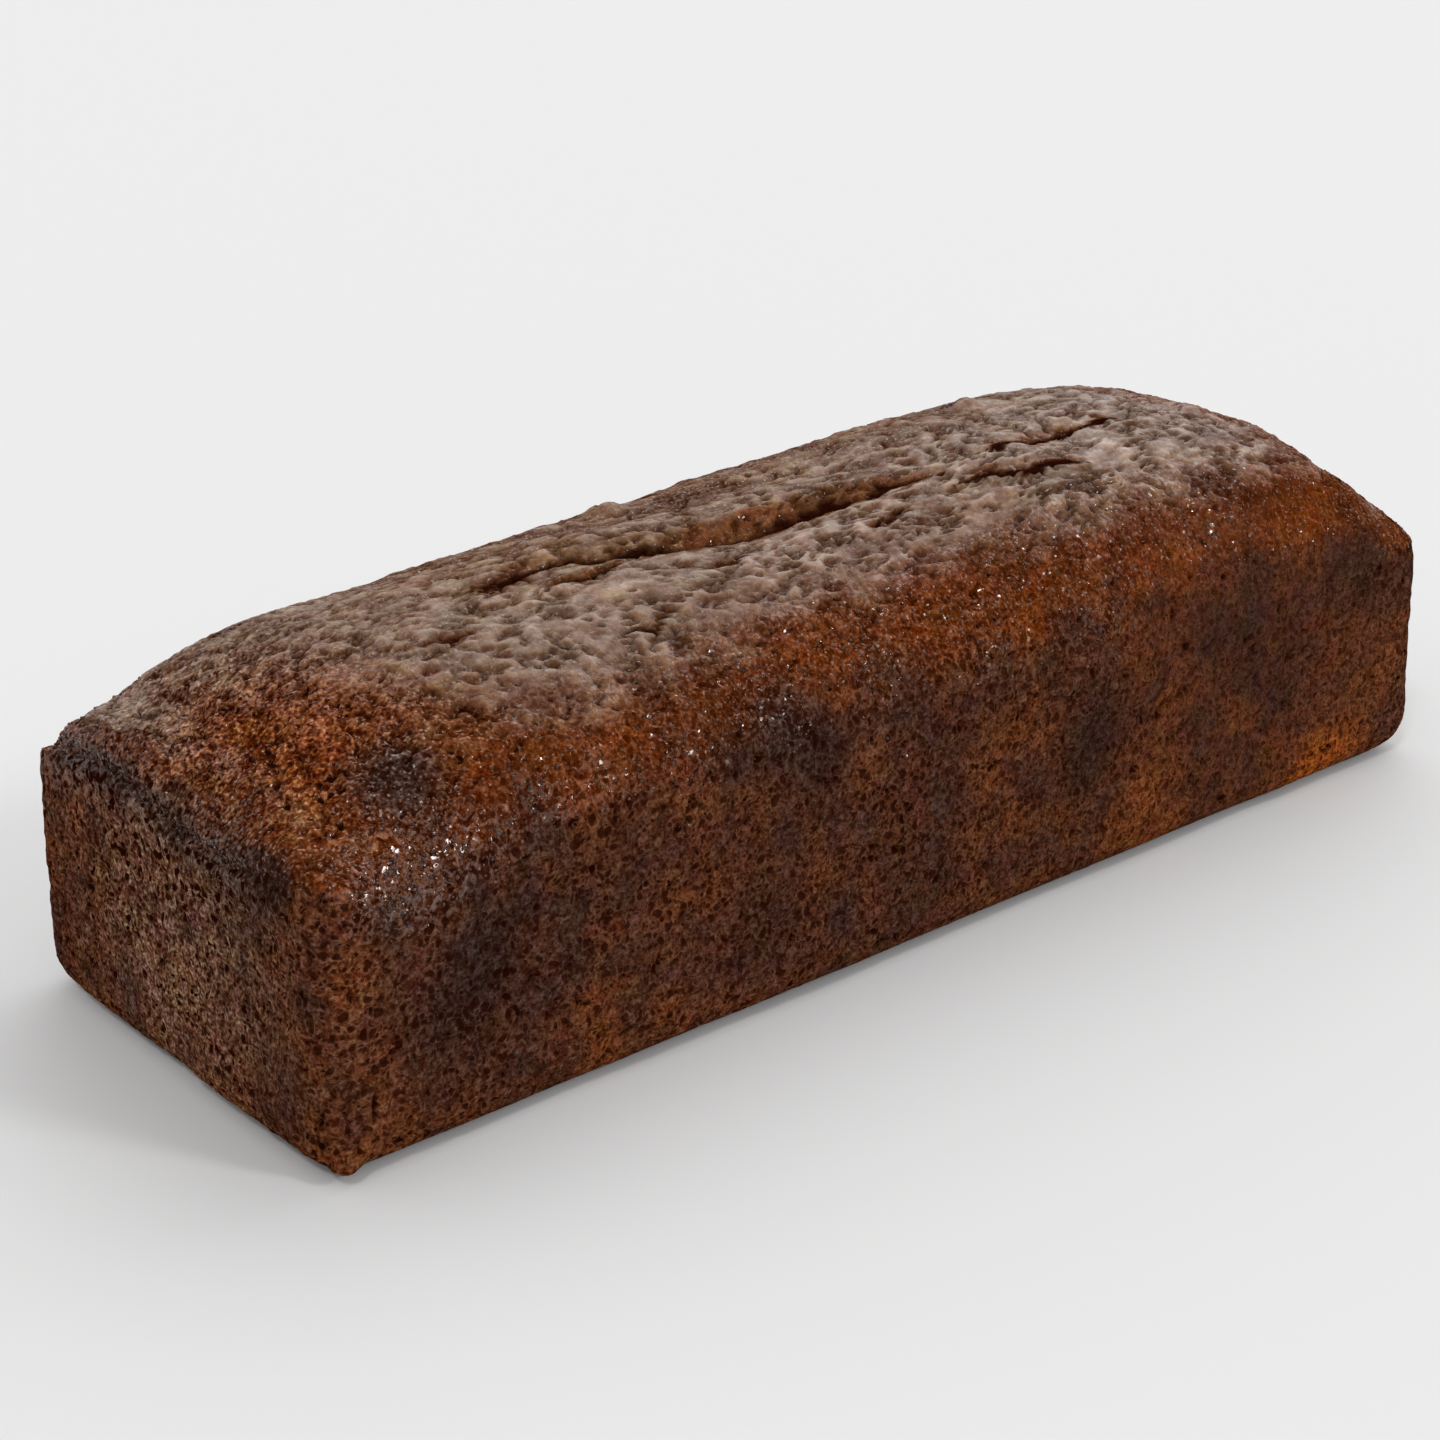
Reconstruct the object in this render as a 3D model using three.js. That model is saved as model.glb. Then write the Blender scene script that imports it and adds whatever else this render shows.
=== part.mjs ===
// Banana bread: a whole loaf, baked in a long straight-sided tin and turned out. It is one closed solid.
// Millimetres, +Z up. X runs along the loaf and Y across it. The origin is on the base, under the loaf's middle.
import * as THREE from "three";
import { ImprovedNoise } from "three/addons/math/ImprovedNoise.js";

const { clamp, lerp, smoothstep } = THREE.MathUtils;

// Driving dimensions, in millimetres
const loafLength = 300;
const loafWidth = 102.5;
const rimHeight = 48; // where the long walls end and the baked top starts
const crownHeight = 34.2; // rise of the top above the rim at mid-length
const cornerRadius = 8; // upright edges left by the tin's corners
const baseRadius = 8; // rounded edge all round the base
const baseFlare = 1.6; // the base set first, so it stands out past the rim
const wallWaist = 0.35; // the walls drew in a little as the loaf cooled

// Form of the baked top
const crownLean = 0.24; // share by which the top is higher towards +X and lower towards -X
const crownBow = 0.12; // share by which it is higher towards both ends
const acrossPower = 2.5; // a higher power gives a flatter top with a tighter shoulder
const alongPower = { minus: 7.5, plus: 4 }; // the -X end is the blunter one
const acrossEase = 0.5; // the top leaves the long walls straight up, in a smooth shoulder
const alongEase = 0.62; // and it leaves the ends at a slant, in a crease
const shoulderInset = 9; // the wall's rings carry on over the shoulder this far in
const shoulderRadius = 11; // corner radius of the last of those rings

// Rim of the two ends: it climbs from the long walls to a wavy line, with a narrow shelf behind it
const endRise = { minus: 6.5, plus: 4.5 };
const endReach = 14; // the climb starts this far from the end
const endDrop = 0.4; // share of the climb that is lost in the +Y corners
const endWave = { height: 2.2, length: 72, crest: 20 }; // crest is its Y on the -X end
const endShelf = 1.6;
const cornerLedge = 0.2; // share of the top's height that is missing in the +Y corners, which leaves a ledge

// Splits that opened in the top as it rose. sway is how far a split wanders from its straight line.
const splits = [
  { from: [-80, 3], to: [30, -13], sway: 1.3, halfWidth: 5, depth: 4.4, lift: 1.5 },
  { from: [42, -13], to: [86, -12], sway: 1.2, halfWidth: 4, depth: 2, lift: 0.6 },
  { from: [28, -20], to: [62, -26], sway: 0.6, halfWidth: 4, depth: 1.5, lift: 0.4 },
];

// Knobs of crust that stand up from the top
const knobs = [
  { at: [-29, 25], radius: 6.5, height: 2.6 },
  { at: [68, 18], radius: 6, height: 1.8 },
];

// Uneven surface: size of the swellings and how far they stand out
const lumps = { size: 34, height: 1.1 };
const ripples = { along: 15, across: 8, height: 0.55 };
const edgeWaver = { size: 16, share: 0.18 }; // uneven rounding of the base's edge

// Steps of the surface's grid
const stepsAlong = 64;
const stepsAcross = 32;
const baseSteps = 3;
const wallSteps = 8;
const shoulderSteps = 6;
const alongSpacing = { middle: 1.1, end: 0.4 };
const acrossSpacing = { middle: 0.75, end: 0.5 };
const shoulderGather = 1.3; // the shoulder's rings gather towards the wall

const crustColour = 0x4b2a1a;
const crustRoughness = 0.5;

const halfLength = loafLength / 2;
const halfWidth = loafWidth / 2;
const noise = new ImprovedNoise();

// An odd curve from (-1, -1) to (1, 1), with the given slopes in its middle and at its ends
function spread(t, { middle, end }) {
  const ninth = (end + 2 * middle - 3) / 6;
  const cube = 1 - middle - ninth;
  return middle * t + cube * t ** 3 + ninth * t ** 9;
}

// A point of the unit square, moved into a rectangle with round corners
function roundedPoint(u, v, halfX, halfY, radius) {
  const x = u * halfX;
  const y = v * halfY;
  const coreX = clamp(x, radius - halfX, halfX - radius);
  const coreY = clamp(y, radius - halfY, halfY - radius);
  const overX = x - coreX;
  const overY = y - coreY;
  const reach = Math.hypot(overX, overY);
  const pull = reach > 0 ? Math.max(Math.abs(overX), Math.abs(overY)) / reach : 1;
  return [coreX + overX * pull, coreY + overY * pull];
}

// Centre line of a split at x, with how far along it that is, from 0 to 1
function splitLine({ from, to, sway }, x) {
  const along = (x - from[0]) / (to[0] - from[0]);
  const wander = sway * Math.sin(along * 3 * Math.PI);
  const held = clamp(along, 0, 1);
  return { along, y: lerp(from[1], to[1], held) + (along === held ? wander : 0) };
}

// Height that the splits take from the top: an open furrow, whose far lip stands up
function splitDepth(x, y) {
  let depth = 0;
  for (const split of splits) {
    const line = splitLine(split, x);
    if (line.along <= 0 || line.along >= 1) continue;
    const opening = Math.sqrt(Math.sin(line.along * Math.PI));
    const off = (y - line.y) / (split.halfWidth * opening);
    if (Math.abs(off) < 1) depth += split.depth * opening * (1 - off * off) ** 2;
    if (off > 0 && off < 4) depth -= split.lift * opening * Math.sin((off / 4) * Math.PI) ** 2;
  }
  return depth;
}

function knobHeight(x, y) {
  let height = 0;
  for (const { at, radius, height: top } of knobs) {
    const off = Math.hypot(x - at[0], y - at[1]) / radius;
    if (off < 1) height += top * (1 - off * off) ** 2;
  }
  return height;
}

// The rim rolls gently along the long walls and waves across the ends
function rimAt(x, y) {
  const nearEnd = smoothstep(Math.abs(x), halfLength - endReach, halfLength);
  const crest = x < 0 ? endWave.crest : -endWave.crest;
  const wave = endWave.height * Math.cos(((y - crest) / endWave.length) * 2 * Math.PI);
  const inCorner = smoothstep(y, halfWidth - endReach, halfWidth);
  const rise = (x < 0 ? endRise.minus : endRise.plus) * (1 - endDrop * inCorner);
  const roll = lumps.height * noise.noise(x / lumps.size, y / loafWidth, 3.7);
  return rimHeight + lerp(roll, rise + wave, nearEnd);
}

// The baked top above the rim
function crownAt(x, y) {
  const along = Math.min(Math.abs(x) / (halfLength - endShelf), 1);
  const across = Math.min(Math.abs(y) / halfWidth, 1);
  const power = x < 0 ? alongPower.minus : alongPower.plus;
  const swell = (1 - across ** acrossPower) ** acrossEase * (1 - along ** power) ** alongEase;
  const inCorner = smoothstep(y, halfWidth - endReach, halfWidth) * smoothstep(along, 0.85, 1);
  const ledge = cornerLedge * inCorner;
  const lean = 1 + crownLean * (x / halfLength) + crownBow * along ** 2;
  return (crownHeight * lean * Math.max(swell - ledge, 0)) / (1 - ledge);
}

function topAt(x, y) {
  return rimAt(x, y) + crownAt(x, y) - splitDepth(x, y) + knobHeight(x, y);
}

// How far the wall stands out from the rim's outline, at a share of the way up it
function wallOffset(share) {
  return baseFlare * (1 - share) - wallWaist * Math.sin(share * Math.PI);
}

// The unit square's edge, once round
function squareEdge() {
  const points = [];
  const u = (i) => spread((2 * i) / stepsAlong - 1, alongSpacing);
  const v = (j) => spread((2 * j) / stepsAcross - 1, acrossSpacing);
  for (let i = 0; i < stepsAlong; i++) points.push([u(i), -1]);
  for (let j = 0; j < stepsAcross; j++) points.push([1, v(j)]);
  for (let i = stepsAlong; i > 0; i--) points.push([u(i), 1]);
  for (let j = stepsAcross; j > 0; j--) points.push([-1, v(j)]);
  return points;
}

// One ring of the wall: the square's edge at the given offset from the rim's outline
function ring(edge, offset, radius, heightAt) {
  return edge.map(([u, v]) => {
    const [x, y] = roundedPoint(u, v, halfLength + offset, halfWidth + offset, radius);
    return new THREE.Vector3(x, y, heightAt(x, y));
  });
}

// Rings from the base's edge up the wall and over the shoulder
function wallRings(edge) {
  const rings = [];
  for (let k = 0; k <= baseSteps; k++) {
    const angle = (k / baseSteps) * (Math.PI / 2);
    const inset = baseRadius * (1 - Math.sin(angle));
    const height = baseRadius * (1 - Math.cos(angle));
    const offset = wallOffset(height / rimHeight) - inset;
    rings.push(ring(edge, offset, cornerRadius, () => height));
  }
  for (let k = 1; k <= wallSteps; k++) {
    const share = k / wallSteps;
    const offset = wallOffset(lerp(baseRadius / rimHeight, 1, share));
    rings.push(ring(edge, offset, cornerRadius, (x, y) => lerp(baseRadius, rimAt(x, y), share)));
  }
  for (let k = 1; k <= shoulderSteps; k++) {
    const share = (k / shoulderSteps) ** shoulderGather;
    const radius = lerp(cornerRadius, shoulderRadius, share);
    rings.push(ring(edge, -shoulderInset * share, radius, topAt));
  }
  return rings;
}

// Line of the first split and then, further along, of the second
function middleLine(x) {
  const [first, second] = splits;
  return splitLine(x < (first.to[0] + second.from[0]) / 2 ? first : second, x).y;
}

// A point of the top's grid. The grid's middle row is drawn over to the middle line, so that the splits come out clean.
function topPoint(i, j) {
  const u = spread((2 * i) / stepsAlong - 1, alongSpacing);
  const v = spread((2 * j) / stepsAcross - 1, acrossSpacing);
  const [x, y] = roundedPoint(u, v, halfLength - shoulderInset, halfWidth - shoulderInset, shoulderRadius);
  const drawn = y + middleLine(x) * (1 - v * v) ** 2;
  return new THREE.Vector3(x, drawn, topAt(x, drawn));
}

// The loaf's surface: the wall's rings, the top's grid inside the last ring, and a flat base inside the first
function loafSurface() {
  const edge = squareEdge();
  const rings = wallRings(edge);
  const count = edge.length;
  const points = rings.flat();
  const index = [];

  for (let k = 0; k + 1 < rings.length; k++) {
    for (let i = 0; i < count; i++) {
      const low = k * count + i;
      const lowNext = k * count + ((i + 1) % count);
      index.push(low, lowNext, lowNext + count, low, lowNext + count, low + count);
    }
  }

  // The grid's outer points are those of the last ring
  const lastRing = (rings.length - 1) * count;
  const inner = new Map();
  const gridPoint = (i, j) => {
    if (j === 0) return lastRing + i;
    if (i === stepsAlong) return lastRing + stepsAlong + j;
    if (j === stepsAcross) return lastRing + 2 * stepsAlong + stepsAcross - i;
    if (i === 0) return lastRing + ((2 * stepsAlong + 2 * stepsAcross - j) % count);
    const key = i * (stepsAcross + 1) + j;
    if (!inner.has(key)) {
      inner.set(key, points.length);
      points.push(topPoint(i, j));
    }
    return inner.get(key);
  };
  for (let i = 0; i < stepsAlong; i++) {
    for (let j = 0; j < stepsAcross; j++) {
      const [a, b] = [gridPoint(i, j), gridPoint(i + 1, j)];
      const [c, d] = [gridPoint(i + 1, j + 1), gridPoint(i, j + 1)];
      index.push(a, b, c, a, c, d);
    }
  }

  const baseOutline = rings[0].map(({ x, y }) => new THREE.Vector2(x, y));
  for (const [a, b, c] of THREE.ShapeUtils.triangulateShape(baseOutline, [])) index.push(a, c, b);

  return new THREE.BufferGeometry().setFromPoints(points).setIndex(index);
}

// How far the crust stands out at a point: slow swellings everywhere, and ripples that run along the loaf
function reliefAt({ x, y, z }) {
  const swelling = lumps.height * noise.noise(x / lumps.size, y / lumps.size, z / lumps.size + 11);
  const ripple = ripples.height * noise.noise(x / ripples.along, y / ripples.across, z / ripples.across + 23);
  const onTop = smoothstep(z, rimHeight, rimHeight + crownHeight / 2);
  const edge = edgeWaver.share * baseRadius * noise.noise(x / edgeWaver.size, y / edgeWaver.size, 41);
  const onEdge = 1 - smoothstep(Math.abs(z - baseRadius / 2), 0, baseRadius / 2);
  return swelling + ripple * lerp(0.5, 1, onTop) + edge * onEdge;
}

// Roughens the surface along its own normals. The flat base stays as it is.
function roughen(geometry) {
  geometry.computeVertexNormals();
  const position = geometry.getAttribute("position");
  const normals = geometry.getAttribute("normal");
  const point = new THREE.Vector3();
  const normal = new THREE.Vector3();
  for (let n = 0; n < position.count; n++) {
    point.fromBufferAttribute(position, n);
    normal.fromBufferAttribute(normals, n);
    const hold = smoothstep(point.z, 0, baseRadius);
    point.addScaledVector(normal, hold * reliefAt(point));
    position.setXYZ(n, point.x, point.y, point.z);
  }
  geometry.computeVertexNormals();
  return geometry;
}

// Sets the geometry's box over the origin
function centre(geometry) {
  geometry.computeBoundingBox();
  const middle = geometry.boundingBox.getCenter(new THREE.Vector3());
  return geometry.translate(-middle.x, -middle.y, -geometry.boundingBox.min.z);
}

const crust = new THREE.MeshStandardMaterial({
  color: crustColour,
  roughness: crustRoughness,
  metalness: 0,
});
const loaf = new THREE.Mesh(centre(roughen(loafSurface())), crust);
loaf.name = "loaf";

const bananaBread = new THREE.Group();
bananaBread.add(loaf);

export default bananaBread;
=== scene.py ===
import math

import bmesh
import bpy
import numpy as np
from mathutils import Matrix, Vector


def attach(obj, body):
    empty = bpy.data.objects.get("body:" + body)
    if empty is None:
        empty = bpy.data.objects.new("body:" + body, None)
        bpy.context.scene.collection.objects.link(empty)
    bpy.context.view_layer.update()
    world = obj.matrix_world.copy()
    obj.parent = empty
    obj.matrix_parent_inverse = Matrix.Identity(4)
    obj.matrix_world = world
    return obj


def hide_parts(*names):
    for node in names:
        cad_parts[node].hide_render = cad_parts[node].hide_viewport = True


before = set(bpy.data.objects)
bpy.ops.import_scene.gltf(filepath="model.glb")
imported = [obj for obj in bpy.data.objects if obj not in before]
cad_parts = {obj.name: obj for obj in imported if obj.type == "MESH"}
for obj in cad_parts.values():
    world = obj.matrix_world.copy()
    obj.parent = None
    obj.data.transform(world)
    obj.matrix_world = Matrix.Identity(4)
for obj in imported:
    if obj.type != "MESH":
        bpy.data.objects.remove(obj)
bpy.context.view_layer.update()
mm = 0.001
smooth = {"interpolation_type": "SMOOTHSTEP"}  # for a Map Range without corners
mixed = {"data_type": "RGBA"}  # for a Mix of colours


def linear(hexColour):
    # sRGB hex to the linear values that shaders work in
    parts = [int(hexColour[i:i + 2], 16) / 255 for i in (1, 3, 5)]
    return [c / 12.92 if c <= 0.04045 else ((c + 0.055) / 1.055) ** 2.4 for c in parts] + [1.0]


def add(tree, kind, settings=None, links=None, out=0):
    # One node with its settings and inputs, sockets linked and values set; gives back one output
    node = tree.nodes.new(kind)
    for name, value in (settings or {}).items():
        setattr(node, name, value)
    for key, value in (links or {}).items():
        if isinstance(value, bpy.types.NodeSocket):
            tree.links.new(value, node.inputs[key])
        else:
            node.inputs[key].default_value = value
    return node.outputs[out] if node.outputs else node


def newTree(name, inputs):
    # A Geometry Nodes tree with one named input for each value
    kinds = {float: "NodeSocketFloat", int: "NodeSocketInt"}
    tree = bpy.data.node_groups.new(name, "GeometryNodeTree")
    tree.interface.new_socket("Geometry", in_out="INPUT", socket_type="NodeSocketGeometry")
    for label, value in inputs.items():
        kind = kinds.get(type(value), "NodeSocket" + type(value).__name__)
        tree.interface.new_socket(label, in_out="INPUT", socket_type=kind)
    tree.interface.new_socket("Geometry", in_out="OUTPUT", socket_type="NodeSocketGeometry")
    return tree, tree.nodes.new("NodeGroupInput").outputs


def grow(piece, tree, inputs):
    # Runs the tree on the piece and keeps the result as a plain mesh
    modifier = piece.modifiers.new(tree.name, "NODES")
    modifier.node_group = tree
    for item in tree.interface.items_tree:
        if item.in_out == "INPUT" and item.name in inputs:
            modifier[item.identifier] = inputs[item.name]
    graph = bpy.context.evaluated_depsgraph_get()
    made = bpy.data.meshes.new_from_object(
        piece.evaluated_get(graph), preserve_all_data_layers=True, depsgraph=graph)
    piece.modifiers.remove(modifier)
    piece.data = made
    made.name = piece.name
    triangles = sum(len(face.vertices) - 2 for face in made.polygons)
    print(f"{piece.name}: {len(made.polygons)} faces, {triangles} triangles")


def newPiece(name, mesh):
    piece = bpy.data.objects.new(name, mesh)
    bpy.context.scene.collection.objects.link(piece)
    return piece


def guidePiece(name, points, fields):
    # Loose points with values, for a tree to measure from
    mesh = bpy.data.meshes.new(name)
    mesh.from_pydata(points, [], [])
    for field, values in fields.items():
        mesh.attributes.new(field, "FLOAT", "POINT").data.foreach_set("value", values)
    return newPiece(name, mesh)


# The loaf. Sizes in mm
loafValues = {
    "splitPoints": 1.5,  # guide points to each mm of a split
    # Splits in the top. The first three are the solid's own, the short ones are only in the skin. Along
    # each go its cut, how far the solid's furrow has closed up again, and how much torn crumb shows
    "splits": [
        {"start": (-80, 3), "end": (30, -13), "sway": 1.3, "reach": 5.0,
         "cut": [(0.1, 1.2), (0.3, 1.4), (0.38, 2.4), (0.47, 0.7), (0.9, 0.9)],
         "fill": [(0.22, 3.0), (0.45, 0.8)],
         "torn": [(0.2, 0.2), (0.4, 0.25), (0.47, 0.9), (0.66, 0.8), (0.74, 0.3), (0.82, 0.8), (1.0, 0.5)]},
        {"start": (42, -13), "end": (86, -12), "sway": 1.2, "reach": 4.0,
         "cut": [(0, 0.3)], "fill": [(0, 1.7)], "torn": [(0, 0.5)]},
        {"start": (28, -20), "end": (62, -26), "sway": 0.6, "reach": 4.0,
         "cut": [(0, 0.3)], "fill": [(0, 1.7)], "torn": [(0, 0.5)]},
        {"start": (-66, -6), "end": (-49, -6.5), "sway": 0.4, "reach": 2.6,
         "cut": [(0, 1.2)], "fill": [(0, 0)], "torn": [(0, 0.7)]},
        {"start": (-39, -19), "end": (-27, -17), "sway": 0.4, "reach": 2.0,
         "cut": [(0, 1.0)], "fill": [(0, 0)], "torn": [(0, 0.35)]},
        {"start": (3, -20), "end": (14, -21), "sway": 0.3, "reach": 2.0,
         "cut": [(0, 1.0)], "fill": [(0, 0)], "torn": [(0, 0.35)]},
        {"start": (-100, -12), "end": (-88, -14), "sway": 0.4, "reach": 1.8,
         "cut": [(0, 0.9)], "fill": [(0, 0)], "torn": [(0, 0.35)]},
        {"start": (-66, -28), "end": (-52, -27), "sway": 0.4, "reach": 1.8,
         "cut": [(0, 0.9)], "fill": [(0, 0)], "torn": [(0, 0.35)]},
    ],
    # The end rims, where the top's crust meets the end walls in a crease
    "rims": {
        "end": 149.2,
        "halfWidth": 47,
        "height": {-1: 54.5, 1: 52.5},
        "wave": 2.2,
        "waveLength": 72,
        "crest": 20,
        "drop": 0.6,  # the crease lies this far under the rim
        "fade": 10,  # and runs out over this stretch before the corners
    },
    # Relief of the skin and of the walls
    "relief": {
        "Levels": 2,
        "Wrinkle Length": 7.0,
        "Wrinkle Width": 5.6,
        "Wrinkle Height": 0.6,
        "Crease Depth": 0.9,
        "Pit Spacing": 4.6,
        "Pit Depth": 0.8,
        "Pore Spacing": 3.4,
        "Pore Depth": 0.8,
        "Crumb Size": 2.6,
        "Crumb Height": 1.1,
        "Split Roughness": 1.8,
        "Rim Groove": 1.3,
        "Rim Roll": 0.9,
        # Heights over which relief sets in above the base, in the splits and behind the end ledges
        "Hold From": 0.2,
        "Hold To": 4.0,
        "Splits From": 40.0,
        "Splits To": 55.0,
        "Ledge From": 54.0,
        "Ledge To": 63.0,
        # Distances from an end rim over which its groove, its roll and its dark line of painted shade end
        "Groove From": 0.4,
        "Groove To": 2.4,
        "Roll From": 3.0,
        "Roll To": 9.0,
        "Dark From": 1.0,
        "Dark To": 6.0,
        # How far the lips and the rims wander
        "Lip Wander": 5.0,
        "Lip Crumb": 5.0,
        "Rim Crumb": 4.0,
    },
    # Bits of crust that stand out: middle, radius, the way they point and their height
    "knobs": [
        ((-30, 24, 80), 3.6, (0.0, 0.0, 1.0), 0.7),
        ((67.5, 17.5, 84), 3.0, (0.0, 0.0, 1.0), 0.8),
        ((110, -10, 81.5), 3.2, (0.5, 0.0, 0.87), 0.9),
        ((117, -24, 77.5), 2.6, (0.5, 0.0, 0.87), 0.7),
        ((124, -34, 72), 3.2, (0.6, -0.1, 0.8), 1.1),
        ((134, -42, 64), 2.8, (0.7, -0.2, 0.7), 0.8),
        ((-146, -50, 2), 3.2, (-0.6, -0.8, 0.0), 3.2),
        ((-140, -53, 1.5), 2.4, (-0.2, -1.0, 0.0), 1.6),
    ],
    # Marks of the baking, and pale patches partly of painted sheen and light: middle, reach and strength
    "marks": {
        "scorch": [
            ((-124, -37, 66), 10, 0.85), ((-124, -52, 27), 15, 0.5), ((-112, -52, 36), 11, 0.35),
            ((-52, -52, 25), 16, 0.45), ((-46, -48, 58), 12, 0.55), ((-35, -51, 50), 10, 0.4),
            ((40, -52, 37), 14, 0.5), ((36, -52, 24), 10, 0.35), ((-86, -51, 50), 11, 0.4),
            ((82, -50, 44), 16, 0.2), ((-17, -52, 24), 12, 0.35), ((11, -51, 51), 12, 0.35),
            ((126, -50, 52), 12, 0.4), ((104, -51, 50), 18, 0.2), ((136, -50, 40), 12, 0.25),
            ((-150, -27, 51), 11, 0.45), ((-150, -6, 49), 8, 0.4), ((-149, -36, 53), 7, 0.4),
            ((-150, 20, 50), 8, 0.3), ((149, 10, 48), 14, 0.5),
        ],
        "warm": [
            ((-101, -43, 66), 14, 0.4), ((-81, -45, 64), 13, 0.5), ((-33, -43, 67), 16, 0.6),
            ((2, -39, 71), 15, 0.8), ((30, -44, 67), 14, 0.5), ((59, -44, 69), 16, 0.6),
            ((111, -46, 65), 16, 0.7), ((-144, -51, 40), 12, 0.4), ((-144, -50, 20), 10, 0.3),
            ((118, -52, 7), 8, 1.4), ((141, -49, 30), 8, 0.9), ((-138, -52, 11), 10, 0.6),
            ((-92, -52, 9), 13, 0.6), ((-69, -52, 8), 10, 0.5), ((-131, -19, 69), 12, 0.9),
            ((-139, 2, 65), 9, 0.9), ((-150, 33, 40), 9, 0.7), ((-150, -5, 20), 14, 0.5),
            ((60, -52, 9), 12, 0.5), ((-128, -5, 70), 20, 0.8), ((-138, -38, 62), 12, 0.7),
            ((-116, -26, 71), 14, 0.5), ((118, 0, 78), 24, 0.9), ((148, 20, 20), 14, 0.6),
            ((20, 52, 12), 18, 0.7), ((-70, 52, 40), 16, 0.5), ((130, -30, 66), 16, 0.6),
        ],
        "gloss": [
            ((148, 0, 68), 28, -1.8), ((116, 24, 78), 24, -0.7), ((78, -26, 80), 20, 0.8),
            ((46, -31, 80), 13, 1.2), ((-126, -20, 70), 22, -0.6), ((-108, -38, 68), 14, -0.6),
            ((-140, -38, 61), 14, -0.9), ((-70, 30, 76), 34, -0.6), ((-10, 30, 79), 34, -0.6),
            ((50, 30, 80), 34, -0.6), ((-147, 36, 58), 12, 0.7), ((-143, 22, 62), 10, 0.5),
            ((-148, 8, 57), 9, 0.5), ((-148, -8, 56), 8, 0.4), ((-148, -24, 55), 8, 0.5),
        ],
        "glint": [
            ((-134, -49, 55), 8, 2.0), ((-125, -49, 56), 8, 1.6), ((-113, -49, 57), 6, 0.8),
            ((-100, -48, 59), 6, 0.7), ((-87, -48, 60), 6, 0.7), ((-68, -48, 60), 7, 0.6),
            ((-44, -47, 62), 8, 0.6), ((-20, -46, 63), 9, 0.5), ((-148, -20, 56), 8, 0.5),
            ((-147, 36, 58), 9, 0.5), ((10, -46, 62), 10, 0.4), ((40, -47, 61), 10, 0.4),
        ],
        "rough": [
            ((-151, 0, 30), 40, 0.6), ((-134, 0, 66), 26, 0.8), ((-128, -32, 66), 16, 0.5),
            ((150, 0, 30), 40, 0.4), ((100, -50, 35), 60, -0.25), ((90, -30, 80), 40, -0.2),
        ],
        "bare": [
            ((112, -52, 5), 6, 1.2), ((119, -52, 7), 5, 1.0), ((127, -52, 9), 5, 0.7),
        ],
        # partly the crumb's own paler tone, partly painted sheen and light
        "pale": [
            ((-151, -16, 32), 22, 0.7), ((-151, 12, 30), 20, 0.6), ((-151, -2, 12), 14, 0.5),
            ((151, 0, 30), 36, 0.6),
        ],
    },
    # Colours in sRGB, and the sizes of the patterns
    "looks": {
        "wallDark": "#422c24",
        "wallMid": "#5f3522",
        "wallWarm": "#824721",
        "shoulderDark": "#4f2713",
        "shoulderWarm": "#7d3c14",
        # the top's colours are paler and greyer than its crust, carrying part of its sheen as painted sheen
        "topDark": "#6c4b31",
        "topWarm": "#8d6747",
        "pale": "#7c5742",
        "torn": "#7c4a2a",
        "bare": "#9c4f1c",
        # painted shade at the foot of the splits
        "slit": "#260b05",
        "scorch": "#33241f",
        # painted shade in pores, creases and pits, and along the foot
        "hollowShade": "#270a03",
        "poreSize": 1.8,
        "finePoreSize": 0.95,
        "crumbSize": 1.4,
        "grainSize": 0.65,
        "facetSize": 0.75,  # facets of sugar, drawn coarser than real ones so that they show
        "tintSize": 6.0,
        "patchSize": 42,
        "mottleSize": 11,
    },
}


def splitGuide():
    # Points along the splits, laid flat
    points = []
    fields = {"opening": [], "cut": [], "fill": [], "torn": []}
    for split in loafValues["splits"]:
        (x0, y0), (x1, y1) = split["start"], split["end"]
        steps = round((x1 - x0) * loafValues["splitPoints"])
        for step in range(1, steps):
            along = step / steps
            gape = math.sqrt(math.sin(math.pi * along))
            y = y0 + (y1 - y0) * along + split["sway"] * math.sin(3 * math.pi * along)
            points.append(((x0 + (x1 - x0) * along) * mm, y * mm, 0))
            cut, fill, torn = [np.interp(along, *zip(*split[name])) for name in ("cut", "fill", "torn")]
            fields["opening"].append(split["reach"] * gape * mm)
            fields["cut"].append(cut * gape * mm)
            fields["fill"].append(fill * gape * mm)
            fields["torn"].append(torn)
    return guidePiece("splitGuide", points, fields)


def rimGuide():
    # Points along the crease under both end rims
    rims = loafValues["rims"]
    points = []
    strengths = []
    for end in (-1, 1):
        for y in range(-rims["halfWidth"], rims["halfWidth"] + 1):
            wave = math.cos((y + end * rims["crest"]) / rims["waveLength"] * 2 * math.pi)
            z = rims["height"][end] + rims["wave"] * wave - rims["drop"]
            points.append((end * rims["end"] * mm, y * mm, z * mm))
            strengths.append(min(1.0, (rims["halfWidth"] - abs(y)) / rims["fade"]))
    return guidePiece("rimGuide", points, {"strength": strengths})


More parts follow.
